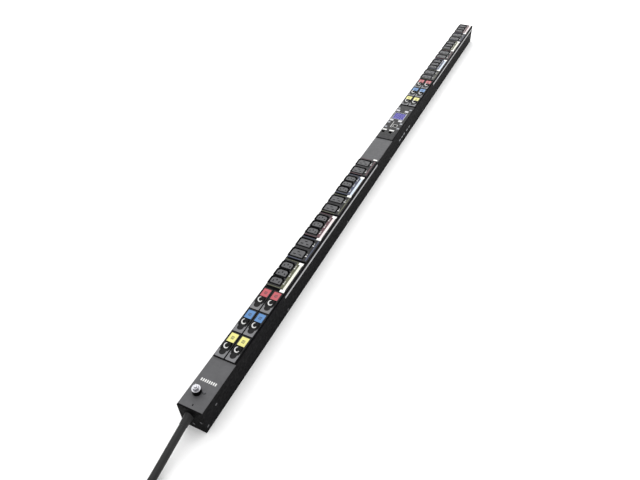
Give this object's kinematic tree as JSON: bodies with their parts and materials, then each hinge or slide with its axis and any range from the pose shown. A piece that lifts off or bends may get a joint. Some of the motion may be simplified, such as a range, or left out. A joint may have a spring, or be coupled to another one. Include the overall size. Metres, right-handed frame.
{
  "type": "rack power strip",
  "caption": "Tall slim rack power strip with grouped outlets, rocker circuit breakers, a metering display with keys, an earth stud and a supply cord with plug.",
  "frame": {"origin": "middle of the rear face", "axes": "+Y along the strip away from the cord end, +Z out of the outlet face, +X to the right"},
  "size_m": [0.2032, 2.2, 0.0882],
  "materials": {
    "side_paint": "black powder coat",
    "front_paint": "satin powder coat",
    "black_steel": "blackened",
    "bezel_plastic": "fine moulded texture",
    "black_plastic": "fine moulded texture",
    "zinc_steel": "bright zinc plate",
    "label_grey": "smooth printed strip",
    "insulator_plastic": "moulded",
    "copper": "rolled bar",
    "outlet_contact_brass": "stamped",
    "breaker_body": "fine moulded texture",
    "module_plastic": "fine moulded texture",
    "insert_grey": "fine moulded texture",
    "bracket_white": "smooth",
    "display_glass": "clear window",
    "lcd": "backlit cell",
    "socket_black": "moulded",
    "cord_jacket": "matt jacket",
    "tie_strap": "woven hook strap",
    "plug_brass": "polished",
    "label_yellow": "printed",
    "label_blue": "printed",
    "label_red": "printed",
    "rocker_plastic": "moulded",
    "button_plastic": "soft keys"
  },
  "bodies": {
    "strip": {"breaker_labels_blue": "label_blue", "breaker_labels_red": "label_red", "breaker_labels_yellow": "label_yellow", "breakers": "breaker_body", "busbars": "copper", "c13_module_1": "module_plastic", "c13_module_2": "module_plastic", "c13_module_3": "module_plastic", "c13_module_4": "module_plastic", "c13_module_5": "module_plastic", "c13_module_6": "module_plastic", "c19_module_1": "module_plastic", "c19_module_2": "module_plastic", "c19_module_3": "module_plastic", "c19_module_4": "module_plastic", "c19_module_5": "module_plastic", "c19_module_6": "module_plastic", "case_screws": "black_steel", "control_bezel": "bezel_plastic", "cord_coil": "cord_jacket", "cord_end_cap": "black_plastic", "cord_end_panel": "front_paint", "cord_gland": "cord_jacket", "cord_tie": "tie_strap", "cord_tube": "cord_jacket", "display_window": "display_glass", "earth_collar": "black_plastic", "earth_stud": "zinc_steel", "far_end_cap": "black_plastic", "front_ribs": "side_paint", "group_brackets": "bracket_white", "insulators": "insulator_plastic", "lcd_panel": "lcd", "left_side_profile": "side_paint", "middle_panel": "front_paint", "network_ports": "socket_black", "outlet_contacts": "outlet_contact_brass", "outlet_inserts": "insert_grey", "plug_body": "black_plastic", "plug_pins": "plug_brass", "rear_cover": "side_paint", "rear_mount_inserts": "zinc_steel", "right_side_profile": "side_paint", "side_label_strips": "label_grey"},
    "rocker_near_1_left_body": {"rocker_near_1_left": "rocker_plastic"},
    "rocker_near_1_right_body": {"rocker_near_1_right": "rocker_plastic"},
    "rocker_near_2_left_body": {"rocker_near_2_left": "rocker_plastic"},
    "rocker_near_2_right_body": {"rocker_near_2_right": "rocker_plastic"},
    "rocker_near_3_left_body": {"rocker_near_3_left": "rocker_plastic"},
    "rocker_near_3_right_body": {"rocker_near_3_right": "rocker_plastic"},
    "rocker_far_1_left_body": {"rocker_far_1_left": "rocker_plastic"},
    "rocker_far_1_right_body": {"rocker_far_1_right": "rocker_plastic"},
    "rocker_far_2_left_body": {"rocker_far_2_left": "rocker_plastic"},
    "rocker_far_2_right_body": {"rocker_far_2_right": "rocker_plastic"},
    "rocker_far_3_left_body": {"rocker_far_3_left": "rocker_plastic"},
    "rocker_far_3_right_body": {"rocker_far_3_right": "rocker_plastic"},
    "button_back_body": {"button_back": "button_plastic"},
    "button_down_body": {"button_down": "button_plastic"},
    "button_menu_body": {"button_menu": "button_plastic"},
    "button_up_body": {"button_up": "button_plastic"}
  },
  "joints": [
    {"name": "rocker_near_1_left_tilt", "type": "hinge", "parent": "strip", "child": "rocker_near_1_left_body", "pos_m": [-0.012, -0.8105, 0.0589], "axis": [-1, 0, 0], "range_deg": [0, 22]},
    {"name": "rocker_near_1_right_tilt", "type": "hinge", "parent": "strip", "child": "rocker_near_1_right_body", "pos_m": [0.012, -0.8105, 0.0589], "axis": [-1, 0, 0], "range_deg": [0, 22]},
    {"name": "rocker_near_2_left_tilt", "type": "hinge", "parent": "strip", "child": "rocker_near_2_left_body", "pos_m": [-0.012, -0.7465, 0.0589], "axis": [-1, 0, 0], "range_deg": [0, 22]},
    {"name": "rocker_near_2_right_tilt", "type": "hinge", "parent": "strip", "child": "rocker_near_2_right_body", "pos_m": [0.012, -0.7465, 0.0589], "axis": [-1, 0, 0], "range_deg": [0, 22]},
    {"name": "rocker_near_3_left_tilt", "type": "hinge", "parent": "strip", "child": "rocker_near_3_left_body", "pos_m": [-0.012, -0.6825, 0.0589], "axis": [-1, 0, 0], "range_deg": [0, 22]},
    {"name": "rocker_near_3_right_tilt", "type": "hinge", "parent": "strip", "child": "rocker_near_3_right_body", "pos_m": [0.012, -0.6825, 0.0589], "axis": [-1, 0, 0], "range_deg": [0, 22]},
    {"name": "rocker_far_1_left_tilt", "type": "hinge", "parent": "strip", "child": "rocker_far_1_left_body", "pos_m": [-0.012, 0.241, 0.0589], "axis": [-1, 0, 0], "range_deg": [0, 22]},
    {"name": "rocker_far_1_right_tilt", "type": "hinge", "parent": "strip", "child": "rocker_far_1_right_body", "pos_m": [0.012, 0.241, 0.0589], "axis": [-1, 0, 0], "range_deg": [0, 22]},
    {"name": "rocker_far_2_left_tilt", "type": "hinge", "parent": "strip", "child": "rocker_far_2_left_body", "pos_m": [-0.012, 0.305, 0.0589], "axis": [-1, 0, 0], "range_deg": [0, 22]},
    {"name": "rocker_far_2_right_tilt", "type": "hinge", "parent": "strip", "child": "rocker_far_2_right_body", "pos_m": [0.012, 0.305, 0.0589], "axis": [-1, 0, 0], "range_deg": [0, 22]},
    {"name": "rocker_far_3_left_tilt", "type": "hinge", "parent": "strip", "child": "rocker_far_3_left_body", "pos_m": [-0.012, 0.369, 0.0589], "axis": [-1, 0, 0], "range_deg": [0, 22]},
    {"name": "rocker_far_3_right_tilt", "type": "hinge", "parent": "strip", "child": "rocker_far_3_right_body", "pos_m": [0.012, 0.369, 0.0589], "axis": [-1, 0, 0], "range_deg": [0, 22]},
    {"name": "button_back_press", "type": "slide", "parent": "strip", "child": "button_back_body", "axis": [0, 0, -1], "range_m": [0, 0.001], "stiffness_N_per_m": 500, "springref_m": -0.0008},
    {"name": "button_down_press", "type": "slide", "parent": "strip", "child": "button_down_body", "axis": [0, 0, -1], "range_m": [0, 0.001], "stiffness_N_per_m": 500, "springref_m": -0.0008},
    {"name": "button_menu_press", "type": "slide", "parent": "strip", "child": "button_menu_body", "axis": [0, 0, -1], "range_m": [0, 0.001], "stiffness_N_per_m": 500, "springref_m": -0.0008},
    {"name": "button_up_press", "type": "slide", "parent": "strip", "child": "button_up_body", "axis": [0, 0, -1], "range_m": [0, 0.001], "stiffness_N_per_m": 500, "springref_m": -0.0008}
  ]
}
